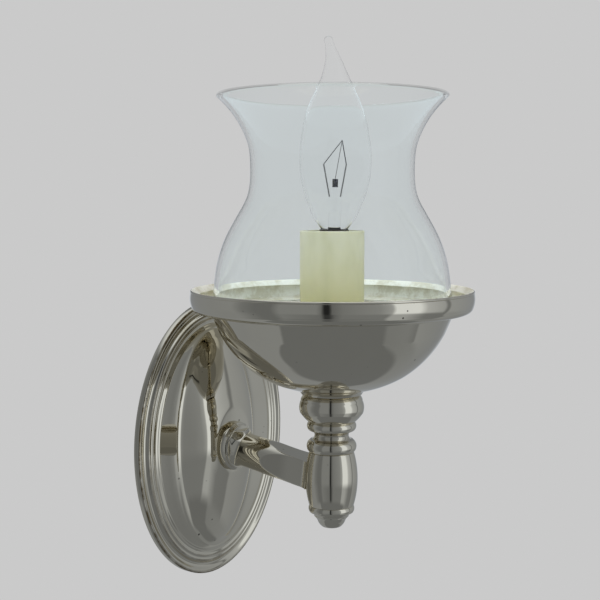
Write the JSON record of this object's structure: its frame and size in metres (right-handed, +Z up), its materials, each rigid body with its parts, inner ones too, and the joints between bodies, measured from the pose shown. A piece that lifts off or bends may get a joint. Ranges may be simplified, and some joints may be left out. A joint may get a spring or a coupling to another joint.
{
  "type": "wall sconce",
  "caption": "Wall lamp with an oval moulded plate, a faceted arm, a turned column, a spun bowl and a waisted glass shade round a candle sleeve and a bent-tip bulb.",
  "frame": {"origin": "where the axis of the pipe through the wall plate meets the wall, midway between the box screws", "axes": "+Z up, +Y into the wall along the pipe, +X to the right of someone who faces the wall"},
  "size_m": [0.1254, 0.1341, 0.2521],
  "materials": {
    "polished_nickel": "polished nickel plate",
    "zinc_steel": "zinc plated",
    "green_screw": "green dyed zinc plate",
    "brass": "plain brass",
    "shade_glass": "clear blown glass",
    "lamp_glass": "clear lamp glass",
    "candle_resin": "cream resin, softly mottled",
    "phenolic": "black moulded",
    "fibre_card": "fibre card",
    "black_insulation": "smooth",
    "white_insulation": "smooth",
    "dark_bead": "dark glass",
    "support_wire": "drawn wire",
    "tungsten": "coiled wire",
    "cap_metal": "tarnished brass cap",
    "cap_glass": "black glass",
    "solder": "solder"
  },
  "bodies": {
    "fixture": {"backplate": "polished_nickel", "mounting_strap": "zinc_steel", "ground_screw": "green_screw", "wall_nipple": "zinc_steel", "strap_locknut": "zinc_steel", "plate_locknut": "zinc_steel", "plate_washer": "zinc_steel", "arm": "polished_nickel", "hub": "polished_nickel", "bottom_finial": "polished_nickel", "neck_collar": "polished_nickel", "bowl_seat_ring": "polished_nickel", "center_pipe": "zinc_steel", "bowl": "polished_nickel", "bowl_clamp_seat": "brass", "bowl_locknut": "brass", "socket_bracket": "zinc_steel", "bracket_screw": "zinc_steel", "socket_body": "phenolic", "socket_liner": "fibre_card", "socket_screw_shell": "brass", "socket_contact": "brass", "terminal_screw_hot": "brass", "terminal_screw_neutral": "zinc_steel", "lead_hot": "black_insulation", "lead_neutral": "white_insulation"},
    "shade": {"glass_shade": "shade_glass"},
    "sleeve": {"candle_sleeve": "candle_resin"},
    "bulb_screw": {"bulb_contact": "solder"},
    "bulb": {"bulb_envelope": "lamp_glass", "bulb_stem": "lamp_glass", "bulb_bead": "dark_bead", "bulb_support_left": "support_wire", "bulb_support_right": "support_wire", "bulb_hook_wire": "support_wire", "bulb_filament": "tungsten", "bulb_base_shell": "cap_metal", "bulb_base_insulator": "cap_glass"}
  },
  "joints": [
    {"name": "shade_lift", "type": "slide", "parent": "fixture", "child": "shade", "axis": [0, 0, 1], "range_m": [0, 0.128]},
    {"name": "sleeve_lift", "type": "slide", "parent": "fixture", "child": "sleeve", "axis": [0, 0, 1], "range_m": [0, 0.0045]},
    {"name": "bulb_rise", "type": "slide", "parent": "fixture", "child": "bulb_screw", "axis": [0, -0.0192, 0.9998], "range_m": [0, 0.0128]},
    {"name": "bulb_turn", "type": "hinge", "parent": "bulb_screw", "child": "bulb", "pos_m": [0, -0.0714, 0.044], "axis": [0, -0.0192, 0.9998], "range_deg": [0, 1800]}
  ],
  "couplings": [
    {"joint": "bulb_rise", "follows": "bulb_turn", "m_per_rad": 0.00040425}
  ]
}
